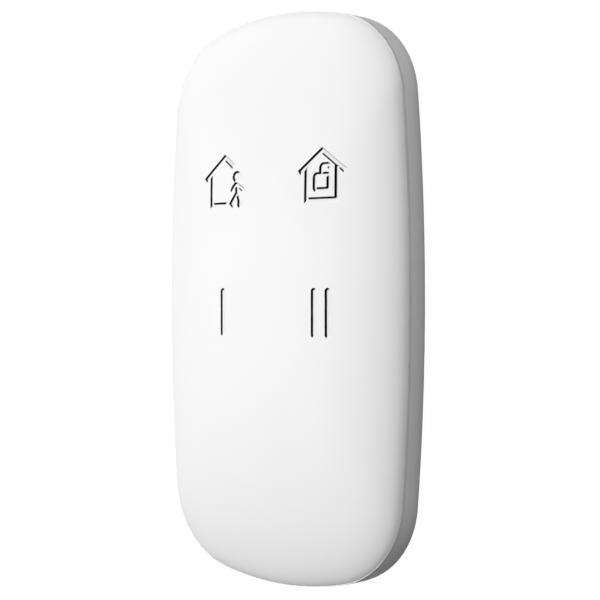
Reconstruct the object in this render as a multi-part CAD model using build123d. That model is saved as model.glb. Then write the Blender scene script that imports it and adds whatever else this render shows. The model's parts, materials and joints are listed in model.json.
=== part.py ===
from build123d import *
import math
import os

os.makedirs("parts", exist_ok=True)

# Millimetres. The fob lies on its back: +Z out of the face, +Y towards its top end, +X to the right.
# The origin is the middle of the flat back.

# Outline: eight tangent arcs, two of each end and side, four corners
length = 65.0
width = 36.0
side_radius = 272.0
end_radius = 39.0
corner_radius = 10.4

# Heights
edge_height = 6.2
parting_gap = 0.3

# Rounding of the back: deep at the sides, tighter at the ends, and inside round the floor
back_round = 5.7
end_round = 2.5
inner_round = 3.8

# Front: a low rim all round, and the crown's rise from there to the middle
rim_height = 1.3
crown_rise = 1.35
front_round = 1.1

# Walls
shell_wall = 1.8
shell_floor = 1.4
rim_land = 0.8
cover_wall = 1.8
skin = 1.0
cover_lip = 0.8
cover_lip_depth = 1.1
lip_clearance = 0.1
overrun = 1.0

# Keys: a round patch of the skin over each switch
key_diameter = 11.0
key_clearance = 0.05
key_spacing_across = 14.6
key_spacing_along = 15.05
key_from_top = 18.9
key_post_diameter = 2.6
key_post_gap = 0.03
key_travel = 0.25

# Symbols sunk into the keys, a little to the right of their middles
symbol_height = 6.15
symbol_offset = 0.26
groove_width = 0.58
groove_depth = 0.35
head_diameter = 1.32
figure_groove_width = 0.42
lock_groove_width = 0.56
numeral_height = 5.45
numeral_groove_width = 0.76
numeral_pitch = 1.915

# Circuit board
board_bottom = 5.0
board_thickness = 0.8
board_clearance = 0.2

# Key switches
switch_side = 3.6
switch_base_height = 1.1
switch_frame_thickness = 0.12
switch_cavity_diameter = 2.9
switch_cavity_floor = 0.3
plunger_diameter = 1.7
plunger_flange_diameter = 2.3
plunger_flange_height = 0.4
plunger_stand_off = 0.07
plunger_clearance = 0.05
dome_diameter = 2.6
dome_flat = 0.11
dome_thickness = 0.08
dome_clearance = 0.02

# Screws and their bosses
screw_from_side = 8.4
screw_from_end = 8.3
screw_head_diameter = 3.6
screw_head_height = 1.2
screw_shank_diameter = 2.0
screw_shank_length = 5.0
screw_core_diameter = 1.6
screw_head_clearance = 0.15
screw_recess = 0.25
screw_slot_width = 0.8
screw_slot_depth = 0.6
screw_tip_clearance = 0.3
boss_diameter = 4.2
boss_tube_diameter = 6.0
boss_clearance = 0.1

# Battery door, a round tray that turns under a ledge
door_screw_wall = 0.87
door_flange_diameter = 26.0
door_flange_thickness = 0.8
door_floor = 1.2
door_clearance = 0.1
door_running_clearance = 0.07
door_wall = 0.7
door_lug_reach = 0.8
door_lug_height = 0.8
door_lug_arc = 30.0
door_notch_arc = 36.0
door_turn = 55.0
door_lug_count = 3
door_ring_wall = 1.0
ledge_thickness = 1.15
ledge_clearance = 0.05
coin_slot_length = 13.0
coin_slot_width = 1.8
coin_slot_depth = 0.65
seal_cord = 0.7
seal_diameter = 24.8
seal_clearance = 0.03

# Coin cell
cell_diameter = 20.0
cell_height = 3.2
cell_side_clearance = 0.2
cell_end_clearance = 0.05
cell_can_wall = 0.25
cell_can_height = 2.9
cell_gasket_wall = 0.5
cell_cap_wall = 0.2
cell_core_clearance = 0.05

# Battery contacts
contact_thickness = 0.15
contact_width = 3.0
contact_pad_length = 4.0
contact_leaf_length = 6.0
contact_touch_gap = 0.02
side_contact_drop = 1.5

# Keyring recess in the back, crossed by a steel pin
recess_from_top = 10.0
recess_width = 8.0
recess_length = 5.0
recess_depth = 4.0
recess_wall = 1.4
recess_roof = 0.8
recess_corner = 0.8
pin_diameter = 1.6
pin_height = 1.5
pin_seat = 1.1

# Parts on the board
light_side = 2.0
light_height = 0.8
guide_diameter = 2.0
guide_gap = 0.1
guide_skin = 0.4
chip_side = 4.0
chip_height = 0.9
chip_from_top = 11.5
crystal_length = 3.2
crystal_width = 1.5
crystal_height = 0.8
antenna_inset = 0.3
antenna_width = 0.8
antenna_thickness = 0.1
antenna_reach = 14.0
chip_part_length = 1.6
chip_part_width = 0.8
chip_part_height = 0.6
chip_part_pitch = 2.6
capacitor_count = 5
resistor_count = 5
capacitor_from_end = 14.5
row_pitch = 3.5

# The crown's surface runs this share past the outline, and a fillet takes at most this share of the rim
crown_spread_share = 1.3
rim_round_share = 0.9

# The crown's level lines are rounded rectangles of this power
crown_power = 4

# At the ends the rounding runs out with this power, and it is worked out at this many levels
end_round_power = 2.2
round_levels = 9

# Shares of the symbol height, from the middle of a symbol
roof_shares = [(-0.497, 0.058), (0.026, 0.439), (0.544, 0.064)]
open_roof_shares = [(-0.499, 0.031), (0.013, 0.439), (0.242, 0.267)]
wall_shares = [(-0.320, 0.160), (-0.320, -0.437), (0.365, -0.437), (0.365, 0.160)]
open_wall_shares = [(-0.322, 0.150), (-0.322, -0.445), (0.078, -0.445)]
head_shares = (0.345, 0.065)
back_shares = [(0.340, -0.062), (0.342, -0.245)]
rear_arm_shares = [(0.340, -0.062), (0.207, -0.193)]
front_arm_shares = [(0.356, -0.089), (0.501, -0.182)]
rear_leg_shares = [(0.332, -0.252), (0.173, -0.447)]
front_leg_shares = [(0.348, -0.252), (0.404, -0.407), (0.407, -0.498)]
lock_shares = [(-0.131, -0.257), (0.181, -0.257), (0.181, 0.010), (-0.131, 0.010)]
shackle_shares = [(0.010, 0.010), (0.010, 0.180), (0.161, 0.180), (0.218, 0.120)]

# Worked out from the sizes above
cover_bottom = edge_height + parting_gap
crown_height = cover_bottom + rim_height + crown_rise
board_top = board_bottom + board_thickness
cover_lip_inset = shell_wall + lip_clearance
board_inset = cover_lip_inset + cover_lip + board_clearance
key_x = key_spacing_across / 2
key_radius = key_diameter / 2
upper_key_y = length / 2 - key_from_top
lower_key_y = upper_key_y - key_spacing_along
light_y = (upper_key_y + lower_key_y) / 2
switch_top = board_top + switch_base_height + switch_frame_thickness
plunger_top = switch_top + key_travel + plunger_stand_off
dome_height = key_travel + dome_flat
cavity_floor = board_top + switch_cavity_floor
cell_bottom = door_floor + cell_end_clearance
cell_radius = cell_diameter / 2
tray_inner = cell_radius + cell_side_clearance
tray_outer = tray_inner + door_wall
lug_outer = tray_outer + door_lug_reach
ledge_inner = tray_outer + door_running_clearance
ledge_bottom = door_flange_thickness + ledge_clearance
ledge_top = ledge_bottom + ledge_thickness
lug_bottom = ledge_top + ledge_clearance
tray_top = lug_bottom + door_lug_height
flange_radius = door_flange_diameter / 2
ring_inner = flange_radius + door_clearance
ring_outer = ring_inner + door_ring_wall
screw_x = width / 2 - screw_from_side
screw_y = length / 2 - screw_from_end
screw_places = [(sx * screw_x, sy * screw_y) for sx in (-1, 1) for sy in (-1, 1)]
screw_seat_radius = screw_head_diameter / 2 + screw_head_clearance
door_to_screw = ring_inner + door_screw_wall + screw_seat_radius
door_y = math.sqrt(door_to_screw**2 - screw_x**2) - screw_y
recess_y = length / 2 - recess_from_top
chip_y = length / 2 - chip_from_top
crystal_x = (chip_side / 2 + screw_x - boss_diameter / 2) / 2
crystal_top = board_top + crystal_height
capacitor_y = capacitor_from_end - length / 2
resistor_y = capacitor_y - row_pitch
key_places = {
    "away": (-key_x, upper_key_y),
    "disarm": (key_x, upper_key_y),
    "one": (-key_x, lower_key_y),
    "two": (key_x, lower_key_y),
}


def disc(radius, low, high, x=0, y=0):
    """Upright cylinder between two heights."""
    return Pos(x, y, (low + high) / 2) * Cylinder(radius, high - low)


def block(size_x, size_y, low, high, x=0, y=0):
    """Upright box between two heights."""
    return Pos(x, y, (low + high) / 2) * Box(size_x, size_y, high - low)


def tube(outer, inner, low, high, x=0, y=0):
    """Upright ring between two heights."""
    return disc(outer, low, high, x, y) - disc(inner, low - overrun, high + overrun, x, y)


def sector(radius, low, high, start, arc, y):
    """Slice of a cylinder that starts at an angle and covers an arc, both in degrees."""
    corners = [(0, 0)]
    steps = 6
    for step in range(steps + 1):
        angle = math.radians(start + arc * step / steps)
        corners.append((2 * radius * math.cos(angle), 2 * radius * math.sin(angle)))
    wedge = Pos(0, y, low) * extrude(make_face(Polyline(*corners, close=True)), high - low)
    return wedge & disc(radius, low, high, 0, y)


def outline(side_inset, end_inset):
    """Face of the fob's outline, its sides and ends moved inwards and its corners by the mean of both."""
    side_reach = side_radius - side_inset
    end_reach = end_radius - end_inset
    corner_reach = corner_radius - (side_inset + end_inset) / 2
    side_centre = Vector(width / 2 - side_radius, 0)
    end_centre = Vector(0, length / 2 - end_radius)
    between = end_centre - side_centre
    to_corner = side_reach - corner_reach
    from_end = end_reach - corner_reach
    along = (between.length**2 + to_corner**2 - from_end**2) / (2 * between.length)
    across = math.sqrt(to_corner**2 - along**2)
    forward = between.normalized()
    upward = Vector(-forward.Y, forward.X)
    corner = side_centre + forward * along + upward * across
    to_side = (corner - side_centre).normalized()
    to_end = (corner - end_centre).normalized()
    to_middle = (to_side + to_end).normalized()
    low = side_centre + to_side * side_reach
    middle = corner + to_middle * corner_reach
    high = end_centre + to_end * end_reach
    side = width / 2 - side_inset
    end = length / 2 - end_inset
    edges = [
        ThreePointArc((low.X, -low.Y), (side, 0), (low.X, low.Y)),
        ThreePointArc((low.X, low.Y), (middle.X, middle.Y), (high.X, high.Y)),
        ThreePointArc((high.X, high.Y), (0, end), (-high.X, high.Y)),
        ThreePointArc((-high.X, high.Y), (-middle.X, middle.Y), (-low.X, low.Y)),
        ThreePointArc((-low.X, low.Y), (-side, 0), (-low.X, -low.Y)),
        ThreePointArc((-low.X, -low.Y), (-middle.X, -middle.Y), (-high.X, -high.Y)),
        ThreePointArc((-high.X, -high.Y), (0, -end), (high.X, -high.Y)),
        ThreePointArc((high.X, -high.Y), (middle.X, -middle.Y), (low.X, -low.Y)),
    ]
    return make_face(edges)


def slab(inset, low, high):
    """The outline, moved inwards by inset, between two heights."""
    return Pos(0, 0, low) * extrude(outline(inset, inset), high - low)


def rounded_back():
    """Lower part of the shell, a loft of outlines that widen from the flat back as a rounding does."""
    levels = []
    for level in range(round_levels):
        turn = math.radians(90 * level / (round_levels - 1))
        share = 1 - math.sin(turn)
        height = back_round * (1 - math.cos(turn))
        levels.append(Pos(0, 0, height) * outline(back_round * share, end_round * share**end_round_power))
    return loft(levels)


def crown(x, y):
    """Height of the crown: it falls with the square of the share of the way to the outline."""
    powers = abs(2 * x / width) ** crown_power + abs(2 * y / length) ** crown_power
    share = powers ** (1 / crown_power)
    return crown_height - crown_rise * share**2


def under_crown(drop):
    """Everything below the crown when the crown is lowered by drop."""
    steps = 12
    rows = []
    for row in range(steps + 1):
        x = crown_spread_share * width * (row / steps - 0.5)
        ends = [crown_spread_share * length * (column / steps - 0.5) for column in range(steps + 1)]
        rows.append([Vector(x, y, crown(x, y) - drop) for y in ends])
    surface = Face.make_surface_from_array_of_points(rows)
    return Solid.extrude(surface, Vector(0, 0, -crown_spread_share * crown_height))


def stroke(points, groove):
    """Flat line of a given width through points, rounded where it turns."""
    pieces = []
    for first, second in zip(points, points[1:]):
        run = math.dist(first, second)
        turn = math.degrees(math.atan2(second[1] - first[1], second[0] - first[0]))
        middle = Pos((first[0] + second[0]) / 2, (first[1] + second[1]) / 2)
        pieces.append(middle * Rot(0, 0, turn) * Rectangle(run, groove))
    for corner in points[1:-1]:
        pieces.append(Pos(*corner) * Circle(groove / 2))
    return pieces


def scaled(shares):
    """Points of a symbol from their shares of its height."""
    return [(symbol_height * x, symbol_height * y) for x, y in shares]


def away_symbol():
    """House left open on the right, with a figure walking out."""
    lines = stroke(scaled(open_roof_shares), groove_width)
    lines += stroke(scaled(open_wall_shares), groove_width)
    lines.append(Pos(*scaled([head_shares])[0]) * Circle(head_diameter / 2))
    for shares in (back_shares, rear_arm_shares, front_arm_shares, rear_leg_shares, front_leg_shares):
        lines += stroke(scaled(shares), figure_groove_width)
    return lines


def disarm_symbol():
    """Closed house round an open padlock."""
    lines = stroke(scaled(roof_shares), groove_width)
    lines += stroke(scaled(wall_shares), groove_width)
    loop = scaled(lock_shares)
    lines += stroke(loop + loop[:2], lock_groove_width)
    lines += stroke(scaled(shackle_shares), lock_groove_width)
    return lines


def numeral_symbol(count):
    """Upright strokes side by side."""
    first = -numeral_pitch * (count - 1) / 2
    places = [(first + numeral_pitch * index, 0) for index in range(count)]
    return [Pos(*place) * Rectangle(numeral_groove_width, numeral_height) for place in places]


def key(place, symbol):
    """Patch of the skin with its symbol and the post that meets the switch."""
    x, y = place
    radius = key_radius - key_clearance
    patch = disc(radius, edge_height, crown_height + overrun, x, y) & under_crown(0)
    patch -= under_crown(skin)
    post = disc(key_post_diameter / 2, plunger_top + key_post_gap, crown_height, x, y)
    post &= under_crown(skin / 2)
    lines = [Pos(x + symbol_offset, y, edge_height) * extrude(line, crown_height) for line in symbol]
    grooves = Part() + lines - under_crown(groove_depth)
    return patch + post - grooves


def front_cover():
    """Crowned front with a hole at each key, four screw bosses and a locating lip."""
    solid = slab(0, cover_bottom, crown_height + overrun) & under_crown(0)
    rim = solid.faces().sort_by(Axis.Z)[-1].edges()
    solid = fillet(rim, min(front_round, rim_round_share * rim_height))
    solid -= slab(cover_wall, cover_bottom - overrun, crown_height + overrun) & under_crown(skin)
    lip_low = edge_height - cover_lip_depth
    lip_high = cover_bottom + cover_lip
    lip = slab(cover_lip_inset, lip_low, cover_bottom)
    lip += slab(cover_wall / 2, cover_bottom, lip_high) & under_crown(skin / 2)
    lip -= slab(cover_lip_inset + cover_lip, lip_low - overrun, lip_high + overrun)
    solid += lip
    for x, y in key_places.values():
        solid -= disc(key_radius, edge_height, crown_height + overrun, x, y)
    for x, y in screw_places:
        boss = disc(boss_diameter / 2, board_bottom, crown_height, x, y) & under_crown(skin / 2)
        screw_tip = screw_recess + screw_head_height + screw_shank_length
        pilot = disc(screw_core_diameter / 2, board_bottom - overrun, screw_tip + screw_tip_clearance, x, y)
        solid = solid + boss - pilot
    guide_hole = disc(guide_diameter / 2, edge_height, crown_height, 0, light_y) & under_crown(guide_skin)
    return solid - guide_hole


def door_ledge():
    """Ring that the door turns in, with notches that let its lugs through."""
    ring = tube(ring_outer, ledge_inner, 0, ledge_top, 0, door_y)
    ring += tube(ring_outer, ring_inner, 0, board_bottom, 0, door_y)
    return ring


def door_openings():
    """Recess for the flange, notches for the lugs and groove for the seal."""
    cuts = disc(ring_inner, -overrun, ledge_bottom, 0, door_y)
    cuts += disc(ledge_inner, -overrun, ledge_top + overrun, 0, door_y)
    pitch = 360 / door_lug_count
    reach = lug_outer + door_clearance
    for index in range(door_lug_count):
        start = index * pitch + door_turn - door_notch_arc / 2
        cuts += sector(reach, 0, ledge_top + overrun, start, door_notch_arc, door_y)
    seal_radius = seal_diameter / 2
    half_groove = seal_cord / 2 + seal_clearance
    groove_top = ledge_bottom + seal_cord
    cuts += tube(seal_radius + half_groove, seal_radius - half_groove, 0, groove_top, 0, door_y)
    return cuts


def rear_shell():
    """Bowl with a flat back, a raised rim, screw tubes, door ring and keyring recess."""
    solid = rounded_back() + slab(0, back_round, edge_height)
    hollow = slab(shell_wall, shell_floor, cover_bottom + overrun)
    hollow = fillet(hollow.faces().sort_by(Axis.Z)[0].edges(), inner_round)
    solid += slab(rim_land, edge_height - rim_land, cover_bottom)
    solid -= hollow
    solid += door_ledge()
    for x, y in screw_places:
        solid += disc(boss_tube_diameter / 2, shell_floor, board_bottom, x, y)
    well_width = recess_width + 2 * recess_wall
    well_length = recess_length + 2 * recess_wall
    solid += block(well_width, well_length, shell_floor, recess_depth + recess_roof, 0, recess_y)
    solid -= door_openings()
    for x, y in screw_places:
        head_seat = screw_recess + screw_head_height
        solid -= disc(screw_seat_radius, -overrun, head_seat, x, y)
        solid -= disc(screw_shank_diameter / 2 + boss_clearance, -overrun, board_bottom + overrun, x, y)
    pocket = block(recess_width, recess_length, -overrun, recess_depth, 0, recess_y)
    pocket = fillet(pocket.edges().filter_by(Axis.Z), recess_corner)
    return solid - pocket - keyring_pin()


def keyring_pin():
    """Steel pin moulded across the recess."""
    along = Pos(0, recess_y, pin_height) * Rot(0, 90, 0)
    return along * Cylinder(pin_diameter / 2, recess_width + 2 * pin_seat)


def battery_door():
    """Round tray with a flange, bayonet lugs and a slot for a coin."""
    solid = disc(flange_radius, 0, door_flange_thickness, 0, door_y)
    solid += disc(tray_outer, 0, door_floor, 0, door_y)
    solid += tube(tray_outer, tray_inner, 0, tray_top, 0, door_y)
    pitch = 360 / door_lug_count
    for index in range(door_lug_count):
        start = index * pitch - door_lug_arc / 2
        lug = sector(lug_outer, lug_bottom, tray_top, start, door_lug_arc, door_y)
        solid += lug - disc(tray_inner, 0, tray_top + overrun, 0, door_y)
    return solid - block(coin_slot_length, coin_slot_width, -overrun, coin_slot_depth, 0, door_y)


def door_seal():
    """Rubber ring in the ledge, round the door's opening."""
    height = ledge_bottom + seal_cord / 2
    return Pos(0, door_y, height) * Torus(seal_diameter / 2, seal_cord / 2)


def cell_can():
    """Positive can, a cup that faces the door."""
    solid = disc(cell_radius, cell_bottom, cell_bottom + cell_can_height, 0, door_y)
    inner = cell_radius - cell_can_wall
    return solid - disc(inner, cell_bottom + cell_can_wall, cell_bottom + cell_height, 0, door_y)


def cell_gasket():
    """Insulating ring between can and cap."""
    outer = cell_radius - cell_can_wall
    low = cell_bottom + cell_can_wall
    return tube(outer, outer - cell_gasket_wall, low, cell_bottom + cell_can_height, 0, door_y)


def cell_cap():
    """Negative cap, a cup that faces the board."""
    outer = cell_radius - cell_can_wall - cell_gasket_wall
    low = cell_bottom + cell_can_wall
    high = cell_bottom + cell_height
    inside = disc(outer - cell_cap_wall, low - overrun, high - cell_cap_wall, 0, door_y)
    return disc(outer, low, high, 0, door_y) - inside


def cell_core():
    """Pressed electrodes inside the cell."""
    radius = cell_radius - cell_can_wall - cell_gasket_wall - cell_cap_wall - cell_core_clearance
    low = cell_bottom + cell_can_wall
    high = cell_bottom + cell_height - cell_cap_wall - cell_core_clearance
    return disc(radius, low, high, 0, door_y)


def strip(points, turn, x, y):
    """Bent metal strip from its side view, turned about the upright axis and moved into place."""
    face = make_face(Polyline(*points, close=True))
    return Pos(x, y) * Rot(0, 0, turn) * extrude(Plane.XZ * face, contact_width / 2, both=True)


def negative_contact():
    """Leaf under the board that bears on the cap."""
    touch = cell_bottom + cell_height + contact_touch_gap
    top = board_bottom
    pad = contact_pad_length
    end = pad + contact_leaf_length
    points = [
        (0, top),
        (pad, top),
        (end, touch + contact_thickness),
        (end + contact_width / 2, touch + contact_thickness),
        (end + contact_width / 2, touch),
        (end, touch),
        (pad, top - contact_thickness),
        (0, top - contact_thickness),
    ]
    return strip(points, 0, -end, door_y)


def positive_contact():
    """Angle under the board whose leg bears on the side of the can."""
    near = cell_radius + contact_touch_gap
    far = near + contact_thickness
    top = board_bottom
    points = [
        (near, top),
        (ring_inner - contact_thickness, top),
        (ring_inner - contact_thickness, top - contact_thickness),
        (far, top - contact_thickness),
        (far, top - side_contact_drop),
        (near, top - side_contact_drop),
    ]
    return strip(points, 90, 0, door_y)


def circuit_board():
    """Board cut to the outline, with holes for the cover's bosses."""
    solid = slab(board_inset, board_bottom, board_top)
    for x, y in screw_places:
        solid -= disc(boss_diameter / 2 + boss_clearance, board_bottom - overrun, board_top + overrun, x, y)
    return solid


def switch_base(place):
    """Square moulding with a round well."""
    x, y = place
    top = board_top + switch_base_height
    well = disc(switch_cavity_diameter / 2, cavity_floor, top + overrun, x, y)
    return block(switch_side, switch_side, board_top, top, x, y) - well


def switch_frame(place):
    """Stamped plate that holds the plunger in."""
    x, y = place
    low = board_top + switch_base_height
    hole = disc(plunger_diameter / 2 + plunger_clearance, low - overrun, switch_top + overrun, x, y)
    return block(switch_side, switch_side, low, switch_top, x, y) - hole


def switch_plunger(place):
    """Stem with a flange that rests on the dome."""
    x, y = place
    low = cavity_floor + dome_height + dome_clearance
    flange = disc(plunger_flange_diameter / 2, low, low + plunger_flange_height, x, y)
    return flange + disc(plunger_diameter / 2, low, plunger_top, x, y)


def switch_dome(place):
    """Thin snap dome, a slice of a hollow ball."""
    x, y = place
    radius = (dome_diameter**2 / 4 + dome_height**2) / (2 * dome_height)
    centre = Pos(x, y, cavity_floor + dome_height - radius)
    shell = centre * Sphere(radius) - centre * Sphere(radius - dome_thickness)
    return shell & disc(dome_diameter / 2, cavity_floor, cavity_floor + dome_height + overrun, x, y)


def status_light():
    """Light package under the middle of the front."""
    return block(light_side, light_side, board_top, board_top + light_height, 0, light_y)


def light_guide():
    """Clear rod from the light to the thinned spot of the skin."""
    low = board_top + light_height + guide_gap
    return disc(guide_diameter / 2, low, crown_height, 0, light_y) & under_crown(guide_skin)


def antenna():
    """Flat conductor round the upper end of the board, clear of the cover's bosses."""
    outer = board_inset + antenna_inset
    high = board_top + antenna_thickness
    ring = slab(outer, board_top, high) - slab(outer + antenna_width, board_top - overrun, high + overrun)
    middle = (length - antenna_reach) / 2
    strip_end = ring & block(width, antenna_reach, board_top - overrun, high + overrun, 0, middle)
    for x, y in screw_places:
        strip_end -= disc(boss_diameter / 2 + boss_clearance, board_top - overrun, high + overrun, x, y)
    return strip_end


def chip_row(count, row_y):
    """Row of small two-ended parts."""
    first = -chip_part_pitch * (count - 1) / 2
    top = board_top + chip_part_height
    places = [first + chip_part_pitch * index for index in range(count)]
    return [block(chip_part_width, chip_part_length, board_top, top, x, row_y) for x in places]


def case_screw(place):
    """Pan head with a cross slot, a shank and the narrower core that holds in the boss."""
    x, y = place
    head_top = screw_recess + screw_head_height
    solid = disc(screw_head_diameter / 2, screw_recess, head_top, x, y)
    solid += disc(screw_shank_diameter / 2, screw_recess, board_bottom - boss_clearance, x, y)
    solid += disc(screw_core_diameter / 2, screw_recess, head_top + screw_shank_length, x, y)
    slot_top = screw_recess + screw_slot_depth
    slot_length = screw_head_diameter - screw_slot_width
    for size_x, size_y in ((slot_length, screw_slot_width), (screw_slot_width, slot_length)):
        solid -= block(size_x, size_y, 0, slot_top, x, y)
    return solid


symbols = {
    "away": away_symbol(),
    "disarm": disarm_symbol(),
    "one": numeral_symbol(1),
    "two": numeral_symbol(2),
}

nodes = {
    "front_cover": front_cover(),
    "rear_shell": rear_shell(),
    "keyring_pin": keyring_pin(),
    "case_screws": Compound([case_screw(place) for place in screw_places]),
    "battery_door": battery_door(),
    "door_seal": door_seal(),
    "cell_can": cell_can(),
    "cell_gasket": cell_gasket(),
    "cell_cap": cell_cap(),
    "cell_core": cell_core(),
    "negative_contact": negative_contact(),
    "positive_contact": positive_contact(),
    "circuit_board": circuit_board(),
    "antenna": antenna(),
    "radio_chip": block(chip_side, chip_side, board_top, board_top + chip_height, 0, chip_y),
    "crystal": block(crystal_width, crystal_length, board_top, crystal_top, crystal_x, chip_y),
    "capacitors": Compound(chip_row(capacitor_count, capacitor_y)),
    "resistors": Compound(chip_row(resistor_count, resistor_y)),
    "status_light": status_light(),
    "light_guide": light_guide(),
    "switch_bases": Compound([switch_base(place) for place in key_places.values()]),
    "switch_frames": Compound([switch_frame(place) for place in key_places.values()]),
}
for name, place in key_places.items():
    nodes[name + "_key"] = key(place, symbols[name])
    nodes[name + "_plunger"] = switch_plunger(place)
    nodes[name + "_dome"] = switch_dome(place)

for name, shape in nodes.items():
    export_step(shape, "parts/" + name + ".step")
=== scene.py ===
# %% [markdown]
# # Dressing an alarm key fob
#
# The fob is a white moulded pebble, about as long as a thumb, with four soft keys and a flat back.
# Its CAD model comes in as a frame that fixes every size and every moving part. This lesson keeps
# that frame as it is, makes the visible skin again as finer surfaces, and gives each piece a finish.

# %% Load the frame
import json

import bmesh
import bpy
import numpy as np
from mathutils import Matrix, Vector


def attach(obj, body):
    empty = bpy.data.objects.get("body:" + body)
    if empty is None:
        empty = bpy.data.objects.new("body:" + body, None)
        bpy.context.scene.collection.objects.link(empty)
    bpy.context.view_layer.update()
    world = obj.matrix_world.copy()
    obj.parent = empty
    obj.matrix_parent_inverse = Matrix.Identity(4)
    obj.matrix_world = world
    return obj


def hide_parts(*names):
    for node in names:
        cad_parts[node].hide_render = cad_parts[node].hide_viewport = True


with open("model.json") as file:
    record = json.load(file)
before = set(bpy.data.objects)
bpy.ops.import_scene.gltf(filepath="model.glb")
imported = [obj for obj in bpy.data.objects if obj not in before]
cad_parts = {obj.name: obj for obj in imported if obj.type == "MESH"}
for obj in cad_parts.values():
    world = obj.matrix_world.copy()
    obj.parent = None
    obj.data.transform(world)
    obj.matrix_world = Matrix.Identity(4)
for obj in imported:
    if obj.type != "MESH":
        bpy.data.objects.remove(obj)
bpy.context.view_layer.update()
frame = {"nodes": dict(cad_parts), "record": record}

MM = 0.001

# %% [markdown]
# ## The camera
#
# The photograph looks at the face from its right side, turned 42 degrees, with the fob's long axis
# upright in the picture. The camera is therefore placed by its three directions: right in the picture,
# up in the picture, and back from the object. A small shift moves the frame instead of the aim, which
# keeps the perspective of the picture as it was.

# %% Camera
IMAGE_SIDE = 600
SENSOR = 36.0
AIM = Vector((0, 0, 7.783)) * MM
AIM_PIXEL = (275.79, 299.25)
DISTANCE = 180.52 * MM
FOCAL_PIXELS = 1595.8
CLIP_START = 5 * MM
turn, lift = np.radians(42), np.radians(0.19)

back = Vector((np.sin(turn) * np.cos(lift), np.sin(lift), np.cos(turn) * np.cos(lift)))
right = Vector((np.cos(turn), 0, -np.sin(turn)))
up = back.cross(right)
camera_data = bpy.data.cameras.new("camera")
camera_data.sensor_width = SENSOR
camera_data.lens = FOCAL_PIXELS / IMAGE_SIDE * SENSOR
camera_data.shift_x = (IMAGE_SIDE / 2 - AIM_PIXEL[0]) / IMAGE_SIDE
camera_data.shift_y = (AIM_PIXEL[1] - IMAGE_SIDE / 2) / IMAGE_SIDE
camera_data.clip_start = CLIP_START
camera = bpy.data.objects.new("camera", camera_data)
axes = Matrix((right, up, back)).transposed().to_4x4()
camera.matrix_world = Matrix.Translation(AIM + back * DISTANCE) @ axes
bpy.context.scene.collection.objects.link(camera)
bpy.context.scene.camera = camera
print("Lens:", round(camera_data.lens, 2), "mm, shift:", round(camera_data.shift_x, 4))

# %% [markdown]
# ## The outline
#
# Seen from above, the fob is eight arcs that run smoothly into each other: two long sides, two ends
# and four corners. One quarter is enough, since the rest mirrors it. What every later step needs is
# the distance from the middle to the outline in any direction, so that is what is worked out here,
# for whole arrays of points at once.

# %% Corner of the outline
HALF_WIDTH, HALF_LENGTH = 18.0, 32.5
SIDE_RADIUS, END_RADIUS, CORNER_RADIUS = 272.0, 39.0, 10.4

side_centre = np.array([HALF_WIDTH - SIDE_RADIUS, 0.0])
end_centre = np.array([0.0, HALF_LENGTH - END_RADIUS])


def find_corner_centre():
    """Centre of the corner arc: where circles about the two other centres, with radii less the
    corner's, cross on the outer side."""
    between = end_centre - side_centre
    gap = np.hypot(*between)
    forward = between / gap
    near, far = SIDE_RADIUS - CORNER_RADIUS, END_RADIUS - CORNER_RADIUS
    along = (gap**2 + near**2 - far**2) / (2 * gap)
    across = np.sqrt(near**2 - along**2)
    return side_centre + forward * along + np.array([-forward[1], forward[0]]) * across


corner_centre = find_corner_centre()
print("Corner arc's centre in mm:", corner_centre.round(3))

# %% Distance to the outline
ALMOST_NOTHING = 1e-9


def reach(x, y, inset=0.0):
    """Distance from the middle to the outline, moved inwards by inset, in the direction of (x, y).
    Each arc gives its far crossing with the ray, b + sqrt(b² - c² + r²), with b the centre's
    component along the ray and c its distance; the ray's angle says which arc it meets."""
    radius = np.maximum(np.hypot(x, y), ALMOST_NOTHING)
    ray = np.stack([np.abs(x) / radius, np.abs(y) / radius])
    ray[0] = np.where(np.hypot(x, y) < ALMOST_NOTHING, 1.0, ray[0])
    arcs = ((side_centre, SIDE_RADIUS), (corner_centre, CORNER_RADIUS), (end_centre, END_RADIUS))
    crossings = []
    for centre, arc_radius in arcs:
        along = ray[0] * centre[0] + ray[1] * centre[1]
        squared = along**2 - centre @ centre + (arc_radius - inset) ** 2
        crossings.append(along + np.sqrt(np.maximum(squared, 0)))
    joints = []
    for centre, arc_radius in (arcs[0], arcs[2]):
        outward = (corner_centre - centre) / np.hypot(*(corner_centre - centre))
        joint = centre + outward * (arc_radius - inset)
        joints.append(np.arctan2(joint[1], joint[0]))
    angle = np.arctan2(ray[1], ray[0])
    past_side = np.where(angle < joints[1], crossings[1], crossings[2])
    return np.where(angle < joints[0], crossings[0], past_side)


print("Outline half width and length:", reach(np.array([1.0, 0.0]), np.array([0.0, 1.0])))

# %% [markdown]
# ## The crowned face
#
# The real face has no flat spot and no edge: it is nearly level in the middle and bends down faster
# and faster until it is upright at the parting line. A power curve does both. The share of the way
# to the outline, raised to one power, sets how wide the level part is, and a second power below one
# half makes the fall end upright.

# %% Face height
SEAM_HEIGHT = 6.2
FACE_RISE = 2.921
LEVEL_POWER = 2.444
FALL_POWER = 0.45
EDGE_SHARE = 0.9974


def face_height(x, y):
    """Height of the face over a point: the seam's height plus the rise times
    (1 - share^level)^fall, with share the point's share of the way to the outline."""
    share = np.minimum(np.hypot(x, y) / reach(x, y), EDGE_SHARE)
    return SEAM_HEIGHT + FACE_RISE * (1 - share**LEVEL_POWER) ** FALL_POWER


edge_heights = face_height(np.array([0.0, HALF_WIDTH]), np.zeros(2))
print("Face height at the middle and at the edge:", edge_heights)

# %% [markdown]
# ## Grids into meshes
#
# Each surface below is a grid of points, some of them closed into rings. Two helpers turn grids into
# one mesh: the points become vertices, every four neighbours a face, and points that coincide are
# merged, which closes seams and poles. Faces are then turned outwards, and edges sharper than
# a set angle stay crisp while the rest is shaded smooth.

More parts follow.
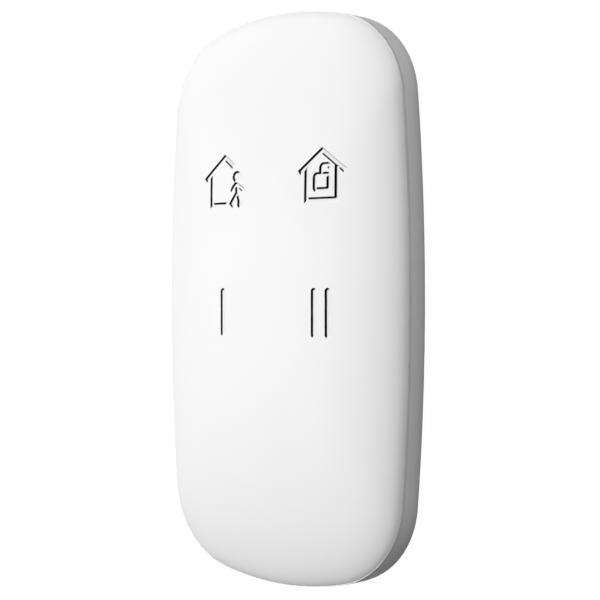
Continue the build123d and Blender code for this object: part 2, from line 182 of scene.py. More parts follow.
# %% Faces of a grid
def grid_faces(rows, columns, ring):
    """Corner numbers of the faces between the points of a grid, wrapping round when it is a ring.
    A point's number is its row times the count of columns, plus its column."""
    face_columns = np.arange(columns if ring else columns - 1)
    row, column = np.meshgrid(np.arange(rows - 1), face_columns, indexing="ij")
    after = (column + 1) % columns
    here, beyond = row * columns, (row + 1) * columns
    corners = (here + column, here + after, beyond + after, beyond + column)
    return np.stack(corners, axis=-1).reshape(-1, 4)


print("Faces of 3 by 8 points:", len(grid_faces(3, 8, False)), "as a ring:", len(grid_faces(3, 8, True)))

# %% Piece from grids
MERGE_DISTANCE = 1e-6
SHARP_ANGLE = np.radians(35)


def make_piece(name, body, grids, sharp=SHARP_ANGLE):
    """Object from grids, each (points in mm as rows x columns x 3, ring or not, marks or None).
    Marks are two numbers to a point: how far it is sunk and how much painted shade it has, both from 0
    to 1."""
    points, faces, marks, count = [], [], [], 0
    for grid, ring, grid_marks in grids:
        rows, columns = grid.shape[:2]
        points.append(grid.reshape(-1, 3) * MM)
        faces.append(grid_faces(rows, columns, ring) + count)
        marks.append(np.zeros((rows * columns, 2)) if grid_marks is None else grid_marks.reshape(-1, 2))
        count += rows * columns
    points, faces, marks = np.concatenate(points), np.concatenate(faces), np.concatenate(marks)
    mesh = bpy.data.meshes.new(name)
    mesh.vertices.add(len(points))
    mesh.vertices.foreach_set("co", points.ravel())
    mesh.loops.add(faces.size)
    mesh.loops.foreach_set("vertex_index", faces.ravel().astype(np.int32))
    mesh.polygons.add(len(faces))
    starts = np.arange(0, faces.size, faces.shape[1], dtype=np.int32)
    mesh.polygons.foreach_set("loop_start", starts)
    mesh.update(calc_edges=True)
    # The second attribute holds the painted shade of the grooves' walls.
    for title, values in zip(("sunk", "painted_shade"), marks.T):
        attribute = mesh.attributes.new(title, "FLOAT", "POINT")
        attribute.data.foreach_set("value", values.astype(np.float32))
    shape = bmesh.new()
    shape.from_mesh(mesh)
    bmesh.ops.remove_doubles(shape, verts=shape.verts, dist=MERGE_DISTANCE)
    bmesh.ops.recalc_face_normals(shape, faces=shape.faces)
    open_edges = sum(1 for edge in shape.edges if not edge.is_manifold)
    shape.to_mesh(mesh)
    shape.free()
    mesh.polygons.foreach_set("use_smooth", np.ones(len(mesh.polygons), dtype=bool))
    mesh.set_sharp_from_angle(angle=sharp)
    piece = bpy.data.objects.new(name, mesh)
    bpy.context.scene.collection.objects.link(piece)
    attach(piece, body)
    print(name, "faces:", len(mesh.polygons), "open edges:", open_edges)
    return piece


# %% [markdown]
# ## The front cover
#
# On the real fob the face is one skin that runs over the keys without a gap. Here the skin is cut
# into a cover with four round holes and four round caps, so that each cap can sink with its key.
# Cover and caps read their heights from the same formula, which is why no ring shows between them.
# Round each hole the cover's grid is a square with a circle in it. From the four squares' common
# edge, rays run out to the outline, closer together in height where the face falls away.

# %% Rings seen from above
def rows_between(inner, outer, count):
    """Rows of points from one ring to the next, both ends included: the inner ring plus evenly
    spaced shares of the way to the outer one."""
    share = np.linspace(0, 1, count)[:, None, None]
    return inner[None] + (outer - inner)[None] * share


def rectangle_ring(columns, rows, across_count, along_count):
    """Points round a rectangle, anticlockwise, with a count for each stretch between two stops."""
    def steps(stops, count):
        """Even places on each stretch, from its first stop up to but without its last."""
        stretches = zip(stops, stops[1:])
        return np.concatenate([np.linspace(a, b, count, endpoint=False) for a, b in stretches])

    across, along = steps(columns, across_count), steps(rows, along_count)
    across_back, along_back = steps(columns[::-1], across_count), steps(rows[::-1], along_count)
    at_left, at_right = np.full(len(along), columns[0]), np.full(len(along), columns[-1])
    at_bottom, at_top = np.full(len(across), rows[0]), np.full(len(across), rows[-1])
    x = np.concatenate([across, at_right, across_back, at_left])
    y = np.concatenate([at_bottom, along, at_top, along_back])
    return np.stack([x, y], axis=-1)


def hole_ring(ring, centre, radius):
    """Points of a circle in the directions of a ring's points, seen from the circle's centre."""
    offset = ring - centre
    return centre + radius * offset / np.hypot(offset[..., 0], offset[..., 1])[..., None]


print("Points round a rectangle:", len(rectangle_ring([0, 1], [0, 1], 3, 2)))

# %% Plan places into points
def lifted(x, y, height):
    """Points from plan places and heights, joined along a last axis."""
    return np.stack(np.broadcast_arrays(x, y, height), axis=-1)


def plan_to_points(plan, drop=0.0):
    """Points over plan places, at the face's height less a drop."""
    return lifted(plan[..., 0], plan[..., 1], face_height(plan[..., 0], plan[..., 1]) - drop)


print("Middle of the face in mm:", plan_to_points(np.zeros(2)).round(3))

# %% Squares round the holes
KEY_ACROSS, UPPER_KEY, LOWER_KEY = 7.3, 13.6, -1.45
KEY_RADIUS = 5.5
SKIN = 1.0
CELL_MARGIN = 6.2
CELL_POINTS = 60
CELL_ROWS = 8
key_places = {
    "away": (-KEY_ACROSS, UPPER_KEY),
    "disarm": (KEY_ACROSS, UPPER_KEY),
    "one": (-KEY_ACROSS, LOWER_KEY),
    "two": (KEY_ACROSS, LOWER_KEY),
}
cell_columns = [-KEY_ACROSS - CELL_MARGIN, 0.0, KEY_ACROSS + CELL_MARGIN]
cell_rows = [LOWER_KEY - CELL_MARGIN, (LOWER_KEY + UPPER_KEY) / 2, UPPER_KEY + CELL_MARGIN]


def cover_cells():
    """Squares with a round hole each: face, underside and hole wall."""
    grids = []
    for x, y in key_places.values():
        columns = cell_columns[:2] if x < 0 else cell_columns[1:]
        rows = cell_rows[:2] if y < cell_rows[1] else cell_rows[1:]
        edge = rectangle_ring(columns, rows, CELL_POINTS, CELL_POINTS)
        hole = hole_ring(edge, np.array([x, y]), KEY_RADIUS)
        plan = rows_between(hole, edge, CELL_ROWS)
        grids.append((plan_to_points(plan), True, None))
        grids.append((plan_to_points(plan, SKIN), True, None))
        grids.append((np.stack([plan_to_points(hole), plan_to_points(hole, SKIN)]), True, None))
    return grids


cell_grids = cover_cells()
print("Squares' edges across and along in mm:", cell_columns, cell_rows, "grids:", len(cell_grids))

# %% From the squares to the parting line
WALL = 1.8
COVER_BOTTOM = 6.5
SEAM_GAP = 0.02
STEP_BOTTOM = SEAM_HEIGHT + SEAM_GAP
SHOULDER_SHARE = 0.9
LEVEL_ROWS, FALL_ROWS, UNDER_ROWS = 30, 26, 20
RIM_SECTION = [
    (0.047, 6.58),
    (0.06, 6.54),
    (0.1, 6.51),
    (0.16, COVER_BOTTOM),
    (0.3, COVER_BOTTOM),
    (0.3, STEP_BOTTOM),
    (0.7, STEP_BOTTOM),
    (0.7, COVER_BOTTOM),
    (WALL, COVER_BOTTOM),
]


def cover_skirt():
    """Face from the squares to the parting line, the small round there, the step behind it, and back
    inside under the skin. RIM_SECTION's pairs are an inset from the outline and a height. Rows of
    the falling part are even in height, so the share comes from the face's formula turned round:
    (1 - fall^(1 / fall power))^(1 / level power)."""
    block = rectangle_ring(cell_columns, cell_rows, CELL_POINTS, CELL_POINTS)
    ray = block / np.hypot(block[:, 0], block[:, 1])[:, None]
    outer = ray * reach(block[:, 0], block[:, 1])[:, None]
    shoulder = outer * SHOULDER_SHARE
    level = rows_between(block, shoulder, LEVEL_ROWS)
    start = (1 - SHOULDER_SHARE**LEVEL_POWER) ** FALL_POWER
    end = (1 - EDGE_SHARE**LEVEL_POWER) ** FALL_POWER
    fall = np.linspace(start, end, FALL_ROWS)[:-1]
    shares = (1 - fall ** (1 / FALL_POWER)) ** (1 / LEVEL_POWER)
    falling = outer[None] * shares[:, None, None]
    grids = [(plan_to_points(level), True, None), (plan_to_points(falling), True, None)]
    rim = [plan_to_points(falling[-1])]
    for inset, height in RIM_SECTION:
        ring = ray * reach(block[:, 0], block[:, 1], inset)[:, None]
        rim.append(lifted(ring[:, 0], ring[:, 1], height))
    inner = ray * reach(block[:, 0], block[:, 1], WALL)[:, None]
    rim.append(plan_to_points(inner, SKIN))
    grids.append((np.stack(rim), True, None))
    grids.append((plan_to_points(rows_between(inner, block, UNDER_ROWS), SKIN), True, None))
    return grids


skirt_grids = cover_skirt()
print("Rows of the skirt's grids:", [len(grid) for grid, ring, marks in skirt_grids])

# %% [markdown]
# Inside, the real cover carries a thin lip that locates it in the rear shell, and a tube for each
# screw. They are plain sections carried along a path: the lip's follows the outline, a tube's goes
# round its own axis.

# %% Locating lip
LIP_OUTER, LIP_INNER = 1.9, 2.7
LIP_BOTTOM, LIP_TOP = 5.1, 6.9
LIP_CHAMFER = 0.15


def carried_round(section, count=360):
    """Section of (inset, height) pairs carried round the outline: at each angle, the outline's
    distance less the inset, times the angle's cosine and sine."""
    angle = np.linspace(0, 2 * np.pi, count, endpoint=False)
    rows = []
    for inset, height in section:
        far = reach(np.cos(angle), np.sin(angle), inset)
        rows.append(lifted(far * np.cos(angle), far * np.sin(angle), height))
    return np.stack(rows)


def cover_lip():
    """Closed section of the lip, from its foot up its outside, over and down its inside."""
    section = [
        (LIP_INNER, LIP_BOTTOM),
        (LIP_OUTER + LIP_CHAMFER, LIP_BOTTOM),
        (LIP_OUTER, LIP_BOTTOM + LIP_CHAMFER),
        (LIP_OUTER, LIP_TOP),
        (LIP_INNER, LIP_TOP),
        (LIP_INNER, LIP_BOTTOM),
    ]
    return [(carried_round(section), True, None)]


lip_grids = cover_lip()
print("Rows and columns of the lip:", lip_grids[0][0].shape[:2])

# %% Screw tubes
SCREW_X, SCREW_Y = 9.6, 24.2
TUBE_RADIUS, TUBE_BOTTOM = 2.1, 5.0
PILOT_RADIUS, PILOT_TOP = 0.8, 6.75
TUBE_CHAMFER = 0.1


def turned(profile, x=0.0, y=0.0, count=48):
    """Profile of (radius, height) pairs carried round an upright axis: each radius times the
    angle's cosine and sine."""
    angle = np.linspace(0, 2 * np.pi, count, endpoint=False)
    radius, height = np.array(profile).T[..., None]
    return lifted(x + radius * np.cos(angle), y + radius * np.sin(angle), height)


def cover_tubes():
    """Four tubes that reach half way into the skin, with a blind pilot hole from below."""
    grids = []
    for x in (-SCREW_X, SCREW_X):
        for y in (-SCREW_Y, SCREW_Y):
            top = float(face_height(np.array([x]), np.array([y]))[0]) - SKIN / 2
            profile = [
                (0, PILOT_TOP),
                (PILOT_RADIUS, PILOT_TOP),
                (PILOT_RADIUS, TUBE_BOTTOM + TUBE_CHAMFER),
                (PILOT_RADIUS + TUBE_CHAMFER, TUBE_BOTTOM),
                (TUBE_RADIUS - TUBE_CHAMFER, TUBE_BOTTOM),
                (TUBE_RADIUS, TUBE_BOTTOM + TUBE_CHAMFER),
                (TUBE_RADIUS, top),
                (0, top),
            ]
            grids.append((turned(profile, x, y), True, None))
    return grids


tube_grids = cover_tubes()
print("Screw tubes:", len(tube_grids), "each of rows and columns:", tube_grids[0][0].shape[:2])

# %% Cover
cover_grids = cell_grids + skirt_grids + lip_grids + tube_grids
cover = make_piece("cover_skin", "case", cover_grids)
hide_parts("front_cover")

# %% [markdown]
# ## The symbols
#
# Each key carries a line drawing sunk into the skin: a house that is left open with a figure walking
# out, a closed house round an open padlock, and the numerals one and two. A line of real width is
# a polygon whose corners are mitred. The figure's limbs swell and taper, so it is one closed outline
# instead, given corner by corner. The distance to a polygon's nearest edge, negative inside, then
# tells every grid point whether it lies on the face, on a groove's wall or on its floor. The drawings
# sit a little to the right of the keys' middles.

# %% Distances to lines and boxes
def mitred(points, width):
    """Corners of a bent line of some width. At a bend, the sum of the two side directions over one
    plus their product leads to where the edges meet."""
    points = np.array(points, dtype=float)
    runs = np.diff(points, axis=0)
    runs /= np.hypot(runs[:, 0], runs[:, 1])[:, None]
    sides = np.stack([-runs[:, 1], runs[:, 0]], axis=-1)
    bends = (sides[:-1] + sides[1:]) / (1 + np.sum(sides[:-1] * sides[1:], axis=1))[:, None]
    reaches = np.concatenate([sides[:1], bends, sides[-1:]]) * width / 2
    return np.concatenate([points + reaches, (points - reaches)[::-1]])


def polygon_distance(x, y, corners):
    """Distance outside a polygon: that to its nearest edge, and negative where a line to the right
    crosses the edges an odd number of times."""
    least, inside = np.full(np.shape(x), np.inf), np.zeros(np.shape(x), dtype=bool)
    for start, end in zip(corners, np.roll(corners, -1, axis=0)):
        run = end - start
        along = np.clip(((x - start[0]) * run[0] + (y - start[1]) * run[1]) / (run @ run), 0, 1)
        away = np.hypot(x - start[0] - along * run[0], y - start[1] - along * run[1])
        least = np.minimum(least, away)
        lean = run[0] / run[1] if run[1] else 0.0
        inside ^= ((start[1] > y) != (end[1] > y)) & (x < start[0] + (y - start[1]) * lean)
    return np.where(inside, -least, least)


def box_distance(x, y, middle, half, corner):
    """Distance outside a rectangle with round corners: that to a smaller one, less the radius."""
    out_x = np.abs(x - middle[0]) - half[0] + corner
    out_y = np.abs(y - middle[1]) - half[1] + corner
    outside = np.hypot(np.maximum(out_x, 0), np.maximum(out_y, 0))
    return outside + np.minimum(np.maximum(out_x, out_y), 0) - corner


print("Corners of a line with one bend:", len(mitred([(0, 0), (1, 0), (1, 1)], 0.1)))

# %% The drawings, in shares of the symbol's height
HOUSE_OPEN = [
    [(-0.499, 0.031), (0.013, 0.442), (0.252, 0.259)],
    [(-0.322, 0.180), (-0.322, -0.445), (0.086, -0.445)],
]
HOUSE_CLOSED = [
    [(-0.497, 0.058), (0.026, 0.443), (0.544, 0.064)],
    [(-0.320, 0.180), (-0.320, -0.437), (0.365, -0.437), (0.365, 0.180)],
]
FIGURE = [
    (0.286, -0.029),
    (0.217, -0.096),
    (0.172, -0.167),
    (0.179, -0.201),
    (0.204, -0.216),
    (0.228, -0.200),
    (0.291, -0.136),
    (0.297, -0.220),
    (0.137, -0.429),
    (0.230, -0.511),
    (0.254, -0.501),
    (0.332, -0.305),
    (0.361, -0.393),
    (0.351, -0.460),
    (0.355, -0.477),
    (0.395, -0.517),
    (0.499, -0.499),
    (0.514, -0.469),
    (0.459, -0.419),
    (0.433, -0.307),
    (0.385, -0.215),
    (0.383, -0.151),
    (0.474, -0.214),
    (0.534, -0.166),
    (0.518, -0.140),
    (0.396, -0.062),
    (0.341, -0.023),
]
HEAD_PLACE = (0.335, 0.069)
LOCK_MIDDLE = (0.026, -0.125)
LOCK_HALF = (0.203, 0.181)
LOCK_CORNER = 0.09
SHACKLE = [
    (0.011, -0.02),
    (0.011, 0.130),
    (0.020, 0.158),
    (0.040, 0.177),
    (0.068, 0.184),
    (0.155, 0.184),
    (0.185, 0.165),
    (0.221, 0.125),
]
print("Corners of the walking figure:", len(FIGURE))

# %% Distances to the symbols
SYMBOL = 6.15
LINE, LOCK_LINE, NUMERAL_LINE = 0.64, 0.58, 0.8
HEAD_RADIUS = 0.68
NUMERAL_HEIGHT, NUMERAL_PITCH, NUMERAL_CORNER = 5.56, 1.915, 0.4
NUMERAL_MIDDLES, NUMERAL_DROP = {1: -0.11, 2: 0.07}, 0.05


def shares_to_places(shares):
    """Places in mm from shares of the symbol's height."""
    return [(SYMBOL * across, SYMBOL * along) for across, along in shares]


def lines_distance(x, y, lines, width):
    """Distance outside several lines, the least of them."""
    outlines = [mitred(shares_to_places(shares), width) for shares in lines]
    return np.min([polygon_distance(x, y, outline) for outline in outlines], axis=0)


def away_distance(x, y):
    """Open house, walking figure and the disc of its head."""
    head = shares_to_places([HEAD_PLACE])[0]
    disc = np.hypot(x - head[0], y - head[1]) - HEAD_RADIUS
    house = lines_distance(x, y, HOUSE_OPEN, LINE)
    figure = polygon_distance(x, y, np.array(shares_to_places(FIGURE)))
    return np.min([house, figure, disc], axis=0)


def disarm_distance(x, y):
    """Closed house and the padlock in it, whose body is one rounded box less a smaller one."""
    middle, half = np.array(LOCK_MIDDLE) * SYMBOL, np.array(LOCK_HALF) * SYMBOL
    corner = LOCK_CORNER * SYMBOL
    body = box_distance(x, y, middle, half, corner)
    hollow = box_distance(x, y, middle, half - LOCK_LINE, max(corner - LOCK_LINE, 0.0))
    shackle = lines_distance(x, y, [SHACKLE], LOCK_LINE)
    house = lines_distance(x, y, HOUSE_CLOSED, LINE)
    return np.min([house, np.maximum(body, -hollow), np.maximum(shackle, -hollow)], axis=0)


def numeral_distance(count):
    """Distance outside a row of upright bars with softened corners."""
    def distance(x, y):
        """The least of the bars' distances; the bars stand one pitch apart about their middle."""
        first = NUMERAL_MIDDLES[count] - NUMERAL_PITCH * (count - 1) / 2
        half = (NUMERAL_LINE / 2, NUMERAL_HEIGHT / 2)
        middles = [(first + NUMERAL_PITCH * index, -NUMERAL_DROP) for index in range(count)]
        return np.min([box_distance(x, y, middle, half, NUMERAL_CORNER) for middle in middles], axis=0)

    return distance


symbols = {
    "away": away_distance,
    "disarm": disarm_distance,
    "one": numeral_distance(1),
    "two": numeral_distance(2),
}
print("Symbols:", list(symbols))

# %% [markdown]
# ## The key caps
#
# A cap is the round patch of skin over one switch, with a short post below it that meets the
# switch's plunger. The middle of its face is a very fine grid, which the symbol is pressed into with
# sloping walls. Round that, rings lead out to the circle, down its edge, back under the skin and down
# the post. The grid also marks painted shade: the grooves' walls that face down and to the right, away
# from the light that such a picture is lit with, are painted black as if in shadow.

# %% Marks of a groove
GROOVE_DEPTH = 0.14
GROOVE_WALL = 0.25
# Painted shade: walls whose downhill direction points this way, away from the light, are painted black,
# with a blend and a soft edge.
PAINTED_SHADE_SIDE = (0.85, -0.53)
PAINTED_SHADE_BLEND = 0.3
PAINTED_SHADE_SOFT = 0.04


def groove_marks(x, y, distance):
    """Sunk share, the depth inside a groove's edge over the wall's width, and the painted shade share.
    The better a wall's downhill direction agrees with the side away from the light, the wider its strip
    of painted shade is, which starts at the upper edge."""
    outside = distance(x, y)
    sunk = np.clip(-outside / GROOVE_WALL, 0, 1)
    slope_y, slope_x = np.gradient(outside, y[:, 0], x[0])
    steep = np.maximum(np.hypot(slope_x, slope_y), ALMOST_NOTHING)
    facing = -(slope_x * PAINTED_SHADE_SIDE[0] + slope_y * PAINTED_SHADE_SIDE[1]) / steep
    side = np.clip(facing / (2 * PAINTED_SHADE_BLEND) + 0.5, 0, 1)
    strip = GROOVE_WALL * side * side * (3 - 2 * side)
    # Painted shade: a black strip on the walls turned away from the light, standing in for their shadow.
    painted_shade = (outside < 0) * np.clip((strip + outside) / PAINTED_SHADE_SOFT, 0, 1)
    return np.stack([sunk, painted_shade], axis=-1)


wall_slope = np.degrees(np.arctan(GROOVE_DEPTH / GROOVE_WALL))
print("Slope of a groove's wall in degrees:", round(wall_slope, 1))

# %% Grids of a cap
SYMBOL_OFFSET = 0.26
GRID_LOW, GRID_HIGH = np.array([-3.4, -3.3]), np.array([4.1, 3.3])
GRID_CELLS = (200, 176)
CAP_GAP = 0.002
CAP_RADIUS = KEY_RADIUS - CAP_GAP
CAP_ROWS = 8
POST_RADIUS, POST_BOTTOM, POST_CHAMFER = 1.3, 7.37, 0.1


def cap_grids(place, distance):
    """Face with its grooves, edge, underside and post of one cap. The face's height is less the
    groove's depth times the sunk share."""
    centre = np.array(place)
    sizes = zip(GRID_LOW, GRID_HIGH, GRID_CELLS)
    x, y = np.meshgrid(*[np.linspace(low, high, cells + 1) for low, high, cells in sizes])
    marks = groove_marks(x - SYMBOL_OFFSET, y, distance)
    height = face_height(x + centre[0], y + centre[1]) - GROOVE_DEPTH * marks[..., 0]
    grids = [(lifted(x + centre[0], y + centre[1], height), False, marks)]
    columns, rows = zip(GRID_LOW, GRID_HIGH)
    grid_edge = rectangle_ring(columns, rows, *GRID_CELLS) + centre
    circle = hole_ring(grid_edge, centre, CAP_RADIUS)
    grids.append((plan_to_points(rows_between(grid_edge, circle, CAP_ROWS)), True, None))
    post = hole_ring(grid_edge, centre, POST_RADIUS)
    rings = [plan_to_points(circle), plan_to_points(circle, SKIN), plan_to_points(post, SKIN)]
    foot = ((POST_RADIUS, POST_CHAMFER), (POST_RADIUS - POST_CHAMFER, 0.0), (0.0, 0.0))
    for radius, rise in foot:
        ring = hole_ring(grid_edge, centre, radius)
        rings.append(lifted(ring[:, 0], ring[:, 1], POST_BOTTOM + rise))
    grids.append((np.stack(rings), True, None))
    return grids


print("Spacing of a cap's grid in mm:", (GRID_HIGH - GRID_LOW) / GRID_CELLS)

# %% Caps
CAP_SHARP = np.radians(60)
caps = {}
for name, place in key_places.items():
    grids = cap_grids(place, symbols[name])
    caps[name] = make_piece(name + "_cap", name + "_key", grids, CAP_SHARP)
    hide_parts(name + "_key")

# %% [markdown]
# ## Shader groups
#
# Three effects return in many finishes. Moulded plastic has a very fine grain from the mould and
# a slow drift in tone. Anything that is handled has faint smudges that change its gloss. Metal that
# was drawn or stamped has a brushed grain in one direction. Each is a node group with named inputs.

# %% Node helpers
COLUMN_STEP, ROW_STEP = 220, -180


def add_node(tree, kind, column, row=0, **settings):
    """New node at a place in columns and rows, with its settings."""
    node = tree.nodes.new(kind)
    node.location = (COLUMN_STEP * column, ROW_STEP * row)
    for key, value in settings.items():
        setattr(node, key, value)
    return node


def new_group(name, inputs, outputs):
    """Empty node group with named number inputs and outputs, and its two end nodes."""
    group = bpy.data.node_groups.new(name, "ShaderNodeTree")
    for title, value in inputs.items():
        socket = group.interface.new_socket(name=title, in_out="INPUT", socket_type="NodeSocketFloat")
        socket.default_value = value
    for title in outputs:
        group.interface.new_socket(name=title, in_out="OUTPUT", socket_type="NodeSocketFloat")
    return group, add_node(group, "NodeGroupInput", 0), add_node(group, "NodeGroupOutput", 5)


def noise(tree, column, row, scale_socket, detail, stretch=(1, 1, 1)):
    """Noise on Object coordinates, stretched by a Mapping node."""
    place = add_node(tree, "ShaderNodeTexCoord", column, row)
    mapping = add_node(tree, "ShaderNodeMapping", column + 1, row)
    mapping.inputs["Scale"].default_value = stretch
    texture = add_node(tree, "ShaderNodeTexNoise", column + 2, row)
    texture.inputs["Detail"].default_value = detail
    tree.links.new(place.outputs["Object"], mapping.inputs["Vector"])
    tree.links.new(mapping.outputs["Vector"], texture.inputs["Vector"])
    tree.links.new(scale_socket, texture.inputs["Scale"])
    return texture


# %% Grain, smudges and brushed lines
FINE_DETAIL, SLOW_DETAIL, SMUDGE_DETAIL, BRUSHED_DETAIL = 3.0, 1.0, 5.0, 2.0


def grain_group():
    """Height of the mould's grain and a slow tone, both from 0 to 1."""
    scales = {"Grain Scale": 9000, "Tone Scale": 60}
    group, start, end = new_group("moulded grain", scales, ["Height", "Tone"])
    fine = noise(group, 1, 0, start.outputs["Grain Scale"], FINE_DETAIL)
    slow = noise(group, 1, 2, start.outputs["Tone Scale"], SLOW_DETAIL)
    group.links.new(fine.outputs["Fac"], end.inputs["Height"])
    group.links.new(slow.outputs["Fac"], end.inputs["Tone"])
    return group


def smudge_group():
    """Mask of smudges: patches of fine noise, cut to the brighter half."""
    group, start, end = new_group("smudges", {"Scale": 160}, ["Mask"])
    patch = noise(group, 1, 0, start.outputs["Scale"], SMUDGE_DETAIL, (1, 0.6, 1))
    level = add_node(group, "ShaderNodeMapRange", 4, 0)
    level.inputs["From Min"].default_value = 0.45
    level.inputs["From Max"].default_value = 0.75
    group.links.new(patch.outputs["Fac"], level.inputs["Value"])
    group.links.new(level.outputs["Result"], end.inputs["Mask"])
    return group


def brushed_group():
    """Height of a brushed grain along one direction."""
    group, start, end = new_group("brushed grain", {"Scale": 3000}, ["Height"])
    lines = noise(group, 1, 0, start.outputs["Scale"], BRUSHED_DETAIL, (0.04, 1, 1))
    group.links.new(lines.outputs["Fac"], end.inputs["Height"])
    return group


grain, smudges, brushed = grain_group(), smudge_group(), brushed_group()
print("Shader groups:", [group.name for group in bpy.data.node_groups])

# %% [markdown]
# ## Finishes
#
# Every finish starts from a Principled shader. Plastic mixes two near tones of one colour by the
# slow tone, lets smudges lift its roughness, and takes the grain as a bump. Metal takes the brushed
# grain. The remaining finishes add what their piece has: tracks under the board's green coat, or
# glassy transmission in the clear rod.

# %% Material helpers
def new_material(name):
    """Material with only a Principled shader and its output."""
    material = bpy.data.materials.new(name)
    material.use_nodes = True
    tree = material.node_tree
    tree.nodes.clear()
    shader = add_node(tree, "ShaderNodeBsdfPrincipled", 6)
    output = add_node(tree, "ShaderNodeOutputMaterial", 8)
    tree.links.new(shader.outputs["BSDF"], output.inputs["Surface"])
    return material, tree, shader


def place_group(tree, group, column, row, **values):
    """Group node in a material, with its inputs set."""
    node = add_node(tree, "ShaderNodeGroup", column, row, node_tree=group)
    for title, value in values.items():
        node.inputs[title.replace("_", " ")].default_value = value
    return node


def mix_colours(tree, column, row, factor, first, second):
    """Colour between two, by a mask. The first is a colour, or the socket that gives one."""
    mix = add_node(tree, "ShaderNodeMix", column, row, data_type="RGBA")
    if isinstance(first, bpy.types.NodeSocket):
        tree.links.new(first, mix.inputs["A"])
    else:
        mix.inputs["A"].default_value = (*first, 1)
    mix.inputs["B"].default_value = (*second, 1)
    tree.links.new(factor, mix.inputs["Factor"])
    return mix.outputs["Result"]


def mix_values(tree, column, row, factor, low, high):
    """Value between two, by a mask from 0 to 1."""
    level = add_node(tree, "ShaderNodeMapRange", column, row)
    level.inputs["To Min"].default_value = low
    level.inputs["To Max"].default_value = high
    tree.links.new(factor, level.inputs["Value"])
    return level.outputs["Result"]


def bump(tree, shader, height, depth):
    """Bump of a depth in metres, on the shader's normal."""
    node = add_node(tree, "ShaderNodeBump", 5, 3)
    node.inputs["Strength"].default_value = 1.0
    node.inputs["Distance"].default_value = depth
    tree.links.new(height, node.inputs["Height"])
    tree.links.new(node.outputs["Normal"], shader.inputs["Normal"])


# %% Plastic and metal
PLASTIC_SMUDGE, METAL_SMUDGE = 0.08, 0.15
METAL_SHADE = 0.82
METAL_DEPTH = 2e-6


def plastic(name, colour, shade, roughness, grain_scale, grain_depth, specular=0.4):
    """Moulded plastic: two tones, the second a share of the first, with smudged gloss and the
    mould's grain."""
    material, tree, shader = new_material(name)
    texture = place_group(tree, grain, 1, 0, Grain_Scale=grain_scale)
    marks = place_group(tree, smudges, 1, 2)
    second = [part * shade for part in colour]
    tone = mix_colours(tree, 3, 0, texture.outputs["Tone"], colour, second)
    tree.links.new(tone, shader.inputs["Base Color"])
    gloss = mix_values(tree, 3, 2, marks.outputs["Mask"], roughness, roughness + PLASTIC_SMUDGE)
    tree.links.new(gloss, shader.inputs["Roughness"])
    shader.inputs["Specular IOR Level"].default_value = specular
    bump(tree, shader, texture.outputs["Height"], grain_depth)
    return material


def metal(name, colour, roughness, scale=3000):
    """Bare or plated metal with a brushed grain and smudged gloss."""
    material, tree, shader = new_material(name)
    lines = place_group(tree, brushed, 1, 0, Scale=scale)
    marks = place_group(tree, smudges, 1, 2)
    second = [part * METAL_SHADE for part in colour]
    tone = mix_colours(tree, 3, 0, lines.outputs["Height"], colour, second)
    tree.links.new(tone, shader.inputs["Base Color"])
    gloss = mix_values(tree, 3, 2, marks.outputs["Mask"], roughness, roughness + METAL_SMUDGE)
    tree.links.new(gloss, shader.inputs["Roughness"])
    shader.inputs["Metallic"].default_value = 1.0
    bump(tree, shader, lines.outputs["Height"], METAL_DEPTH)
    return material


# %% [markdown]
# The white skin needs one thing more. The caps carry two marks to each point: how far it is sunk,
# and how much painted shade its groove's wall has. The floor of a groove is painted a shade darker
# than the face, as shade in the recess. The shaded walls have a black base painted on as shadow, and
# count as metal, because a metal mirrors no more than its base colour.

# %% White skin
SKIN_WHITE = (0.93, 0.93, 0.93)
# Painted shade: groove floors a shade darker as in a recess, and the shaded groove walls black.
PAINTED_SHADE_FLOOR_TONE = (0.85, 0.85, 0.85)
PAINTED_SHADOW_WALL_TONE = (0.003, 0.003, 0.003)


def skin_material():
    """White plastic with painted shade: groove floors painted darker and shaded groove walls painted
    black.
    """
    material = plastic("white_skin", SKIN_WHITE, 0.985, 0.42, 9000, 2e-6, 0.35)
    tree = material.node_tree
    shader = next(node for node in tree.nodes if node.type == "BSDF_PRINCIPLED")
    tone = shader.inputs["Base Color"].links[0].from_socket
    sunk = add_node(tree, "ShaderNodeAttribute", 1, 4, attribute_name="sunk")
    painted_shade = add_node(tree, "ShaderNodeAttribute", 1, 5, attribute_name="painted_shade")
    # Painted shade: sunk places take the darker floor tone, and shaded walls the black one.
    shaded_floor_tone = mix_colours(tree, 4, 1, sunk.outputs["Fac"], tone, PAINTED_SHADE_FLOOR_TONE)
    shaded_wall_tone = mix_colours(tree, 5, 1, painted_shade.outputs["Fac"], shaded_floor_tone, PAINTED_SHADOW_WALL_TONE)
    tree.links.new(shaded_wall_tone, shader.inputs["Base Color"])
    # The painted shadow counts as metal, so the black walls reflect almost nothing.
    tree.links.new(painted_shade.outputs["Fac"], shader.inputs["Metallic"])
    return material


white_skin = skin_material()
print("Nodes in the white skin:", len(white_skin.node_tree.nodes))

# %% Board and clear rod
COAT_GREEN, TRACK_GREEN = (0.03, 0.17, 0.07), (0.06, 0.28, 0.12)
TRACK_HEIGHT = 3e-5
CLEAR_TINT = (0.92, 0.96, 0.96, 1)
CLEAR_GRAIN = 1e-6


